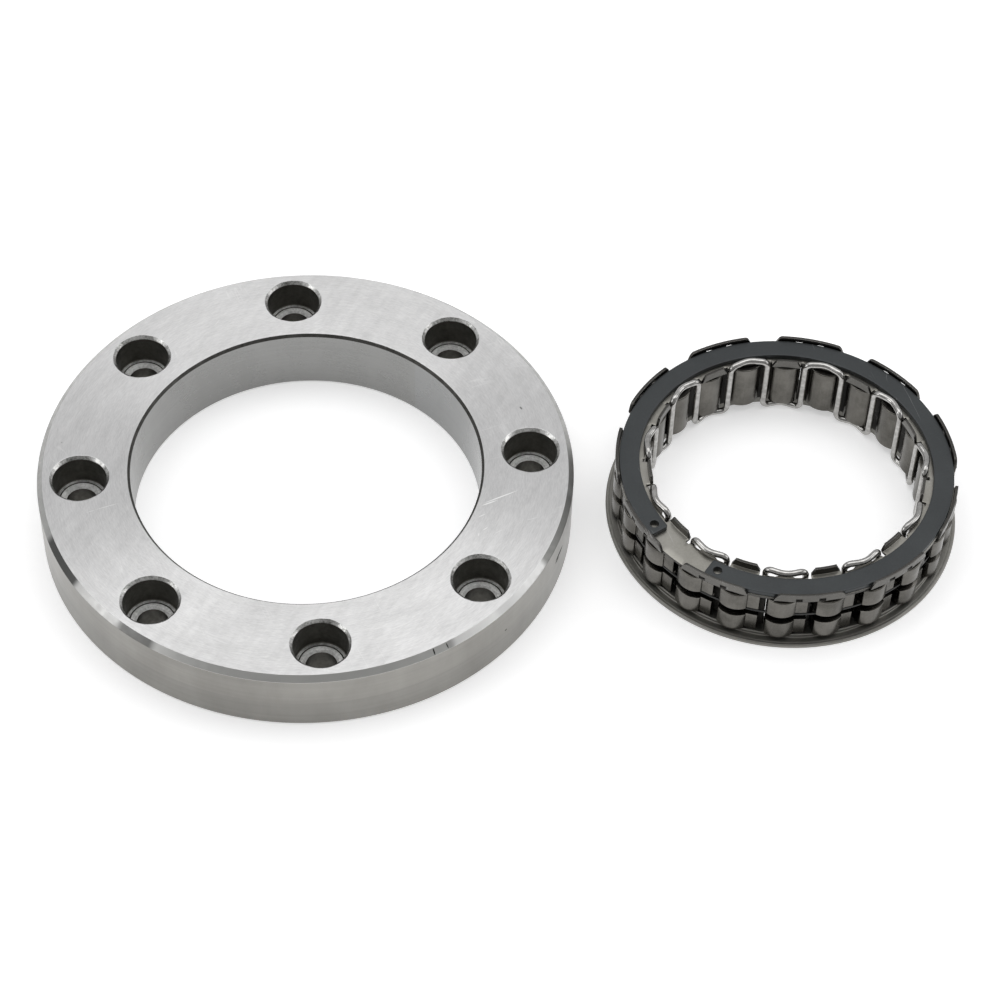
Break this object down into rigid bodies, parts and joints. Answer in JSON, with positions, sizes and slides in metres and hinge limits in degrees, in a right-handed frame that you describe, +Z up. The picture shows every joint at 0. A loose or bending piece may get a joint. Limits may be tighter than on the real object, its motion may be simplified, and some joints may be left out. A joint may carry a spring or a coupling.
{
  "type": "sprag clutch",
  "caption": "Bolt-on steel outer race ring beside its open sprag cage, with rocking sprags, a wire energizing spring and a split retaining ring.",
  "frame": {"origin": "centre of the outer race's bore at its underside, the plane that the race and the cage both stand on", "axes": "+Z up along the axes of race and cage, +X from the race's axis to the cage's axis, +Y to the back of the picture"},
  "size_m": [0.1967, 0.1134, 0.0158],
  "materials": {
    "race_steel": "ground, satin",
    "cage_steel": "pressed sheet, satin",
    "band_steel": "spring strip, satin",
    "sprag_steel": "hardened, satin",
    "spring_wire": "bright drawn wire",
    "ring_steel": "phosphated, dark"
  },
  "bodies": {
    "race": {"outer_race": "race_steel"},
    "cage": {"cage_flange": "cage_steel", "cage_bars": "cage_steel", "cage_top_plate": "cage_steel", "garter_band": "band_steel", "energizing_spring": "spring_wire"},
    "retaining_ring": {"retaining_ring": "ring_steel"},
    "sprag_01": {"sprag_01": "sprag_steel"},
    "sprag_02": {"sprag_02": "sprag_steel"},
    "sprag_03": {"sprag_03": "sprag_steel"},
    "sprag_04": {"sprag_04": "sprag_steel"},
    "sprag_05": {"sprag_05": "sprag_steel"},
    "sprag_06": {"sprag_06": "sprag_steel"},
    "sprag_07": {"sprag_07": "sprag_steel"},
    "sprag_08": {"sprag_08": "sprag_steel"},
    "sprag_09": {"sprag_09": "sprag_steel"},
    "sprag_10": {"sprag_10": "sprag_steel"},
    "sprag_11": {"sprag_11": "sprag_steel"},
    "sprag_12": {"sprag_12": "sprag_steel"},
    "sprag_13": {"sprag_13": "sprag_steel"},
    "sprag_14": {"sprag_14": "sprag_steel"},
    "sprag_15": {"sprag_15": "sprag_steel"},
    "sprag_16": {"sprag_16": "sprag_steel"},
    "sprag_17": {"sprag_17": "sprag_steel"},
    "sprag_18": {"sprag_18": "sprag_steel"},
    "sprag_19": {"sprag_19": "sprag_steel"},
    "sprag_20": {"sprag_20": "sprag_steel"},
    "sprag_21": {"sprag_21": "sprag_steel"},
    "sprag_22": {"sprag_22": "sprag_steel"}
  },
  "joints": [
    {"name": "cage_spin", "type": "hinge", "parent": "race", "child": "cage", "pos_m": [0.1021, 0, 0], "axis": [0, 0, 1], "continuous": true},
    {"name": "ring_turn", "type": "hinge", "parent": "cage", "child": "retaining_ring", "pos_m": [0.1021, 0, 0.014], "axis": [0, 0, 1], "continuous": true},
    {"name": "sprag_01_rock", "type": "hinge", "parent": "cage", "child": "sprag_01", "pos_m": [0.13425, 0.0018, 0.0075], "axis": [0, 0, -1], "range_deg": [0, 7], "stiffness_Nm_per_rad": 0.01, "springref_deg": -5.73},
    {"name": "sprag_02_rock", "type": "hinge", "parent": "cage", "child": "sprag_02", "pos_m": [0.13244, 0.01078, 0.0075], "axis": [0, 0, -1], "range_deg": [0, 7], "stiffness_Nm_per_rad": 0.01, "springref_deg": -5.73},
    {"name": "sprag_03_rock", "type": "hinge", "parent": "cage", "child": "sprag_03", "pos_m": [0.12817, 0.01889, 0.0075], "axis": [0, 0, -1], "range_deg": [0, 7], "stiffness_Nm_per_rad": 0.01, "springref_deg": -5.73},
    {"name": "sprag_04_rock", "type": "hinge", "parent": "cage", "child": "sprag_04", "pos_m": [0.1218, 0.02547, 0.0075], "axis": [0, 0, -1], "range_deg": [0, 7], "stiffness_Nm_per_rad": 0.01, "springref_deg": -5.73},
    {"name": "sprag_05_rock", "type": "hinge", "parent": "cage", "child": "sprag_05", "pos_m": [0.11382, 0.02999, 0.0075], "axis": [0, 0, -1], "range_deg": [0, 7], "stiffness_Nm_per_rad": 0.01, "springref_deg": -5.73},
    {"name": "sprag_06_rock", "type": "hinge", "parent": "cage", "child": "sprag_06", "pos_m": [0.1049, 0.03208, 0.0075], "axis": [0, 0, -1], "range_deg": [0, 7], "stiffness_Nm_per_rad": 0.01, "springref_deg": -5.73},
    {"name": "sprag_07_rock", "type": "hinge", "parent": "cage", "child": "sprag_07", "pos_m": [0.09575, 0.03157, 0.0075], "axis": [0, 0, -1], "range_deg": [0, 7], "stiffness_Nm_per_rad": 0.01, "springref_deg": -5.73},
    {"name": "sprag_08_rock", "type": "hinge", "parent": "cage", "child": "sprag_08", "pos_m": [0.08711, 0.0285, 0.0075], "axis": [0, 0, -1], "range_deg": [0, 7], "stiffness_Nm_per_rad": 0.01, "springref_deg": -5.73},
    {"name": "sprag_09_rock", "type": "hinge", "parent": "cage", "child": "sprag_09", "pos_m": [0.07969, 0.02312, 0.0075], "axis": [0, 0, -1], "range_deg": [0, 7], "stiffness_Nm_per_rad": 0.01, "springref_deg": -5.73},
    {"name": "sprag_10_rock", "type": "hinge", "parent": "cage", "child": "sprag_10", "pos_m": [0.07408, 0.01587, 0.0075], "axis": [0, 0, -1], "range_deg": [0, 7], "stiffness_Nm_per_rad": 0.01, "springref_deg": -5.73},
    {"name": "sprag_11_rock", "type": "hinge", "parent": "cage", "child": "sprag_11", "pos_m": [0.07075, 0.00733, 0.0075], "axis": [0, 0, -1], "range_deg": [0, 7], "stiffness_Nm_per_rad": 0.01, "springref_deg": -5.73},
    {"name": "sprag_12_rock", "type": "hinge", "parent": "cage", "child": "sprag_12", "pos_m": [0.06995, -0.0018, 0.0075], "axis": [0, 0, -1], "range_deg": [0, 7], "stiffness_Nm_per_rad": 0.01, "springref_deg": -5.73},
    {"name": "sprag_13_rock", "type": "hinge", "parent": "cage", "child": "sprag_13", "pos_m": [0.07176, -0.01078, 0.0075], "axis": [0, 0, -1], "range_deg": [0, 7], "stiffness_Nm_per_rad": 0.01, "springref_deg": -5.73},
    {"name": "sprag_14_rock", "type": "hinge", "parent": "cage", "child": "sprag_14", "pos_m": [0.07603, -0.01889, 0.0075], "axis": [0, 0, -1], "range_deg": [0, 7], "stiffness_Nm_per_rad": 0.01, "springref_deg": -5.73},
    {"name": "sprag_15_rock", "type": "hinge", "parent": "cage", "child": "sprag_15", "pos_m": [0.0824, -0.02547, 0.0075], "axis": [0, 0, -1], "range_deg": [0, 7], "stiffness_Nm_per_rad": 0.01, "springref_deg": -5.73},
    {"name": "sprag_16_rock", "type": "hinge", "parent": "cage", "child": "sprag_16", "pos_m": [0.09038, -0.02999, 0.0075], "axis": [0, 0, -1], "range_deg": [0, 7], "stiffness_Nm_per_rad": 0.01, "springref_deg": -5.73},
    {"name": "sprag_17_rock", "type": "hinge", "parent": "cage", "child": "sprag_17", "pos_m": [0.0993, -0.03208, 0.0075], "axis": [0, 0, -1], "range_deg": [0, 7], "stiffness_Nm_per_rad": 0.01, "springref_deg": -5.73},
    {"name": "sprag_18_rock", "type": "hinge", "parent": "cage", "child": "sprag_18", "pos_m": [0.10845, -0.03157, 0.0075], "axis": [0, 0, -1], "range_deg": [0, 7], "stiffness_Nm_per_rad": 0.01, "springref_deg": -5.73},
    {"name": "sprag_19_rock", "type": "hinge", "parent": "cage", "child": "sprag_19", "pos_m": [0.11709, -0.0285, 0.0075], "axis": [0, 0, -1], "range_deg": [0, 7], "stiffness_Nm_per_rad": 0.01, "springref_deg": -5.73},
    {"name": "sprag_20_rock", "type": "hinge", "parent": "cage", "child": "sprag_20", "pos_m": [0.12451, -0.02312, 0.0075], "axis": [0, 0, -1], "range_deg": [0, 7], "stiffness_Nm_per_rad": 0.01, "springref_deg": -5.73},
    {"name": "sprag_21_rock", "type": "hinge", "parent": "cage", "child": "sprag_21", "pos_m": [0.13012, -0.01587, 0.0075], "axis": [0, 0, -1], "range_deg": [0, 7], "stiffness_Nm_per_rad": 0.01, "springref_deg": -5.73},
    {"name": "sprag_22_rock", "type": "hinge", "parent": "cage", "child": "sprag_22", "pos_m": [0.13345, -0.00733, 0.0075], "axis": [0, 0, -1], "range_deg": [0, 7], "stiffness_Nm_per_rad": 0.01, "springref_deg": -5.73}
  ],
  "couplings": [
    {"joint": "sprag_02_rock", "follows": "sprag_01_rock", "ratio": 1},
    {"joint": "sprag_03_rock", "follows": "sprag_01_rock", "ratio": 1},
    {"joint": "sprag_04_rock", "follows": "sprag_01_rock", "ratio": 1},
    {"joint": "sprag_05_rock", "follows": "sprag_01_rock", "ratio": 1},
    {"joint": "sprag_06_rock", "follows": "sprag_01_rock", "ratio": 1},
    {"joint": "sprag_07_rock", "follows": "sprag_01_rock", "ratio": 1},
    {"joint": "sprag_08_rock", "follows": "sprag_01_rock", "ratio": 1},
    {"joint": "sprag_09_rock", "follows": "sprag_01_rock", "ratio": 1},
    {"joint": "sprag_10_rock", "follows": "sprag_01_rock", "ratio": 1},
    {"joint": "sprag_11_rock", "follows": "sprag_01_rock", "ratio": 1},
    {"joint": "sprag_12_rock", "follows": "sprag_01_rock", "ratio": 1},
    {"joint": "sprag_13_rock", "follows": "sprag_01_rock", "ratio": 1},
    {"joint": "sprag_14_rock", "follows": "sprag_01_rock", "ratio": 1},
    {"joint": "sprag_15_rock", "follows": "sprag_01_rock", "ratio": 1},
    {"joint": "sprag_16_rock", "follows": "sprag_01_rock", "ratio": 1},
    {"joint": "sprag_17_rock", "follows": "sprag_01_rock", "ratio": 1},
    {"joint": "sprag_18_rock", "follows": "sprag_01_rock", "ratio": 1},
    {"joint": "sprag_19_rock", "follows": "sprag_01_rock", "ratio": 1},
    {"joint": "sprag_20_rock", "follows": "sprag_01_rock", "ratio": 1},
    {"joint": "sprag_21_rock", "follows": "sprag_01_rock", "ratio": 1},
    {"joint": "sprag_22_rock", "follows": "sprag_01_rock", "ratio": 1}
  ]
}
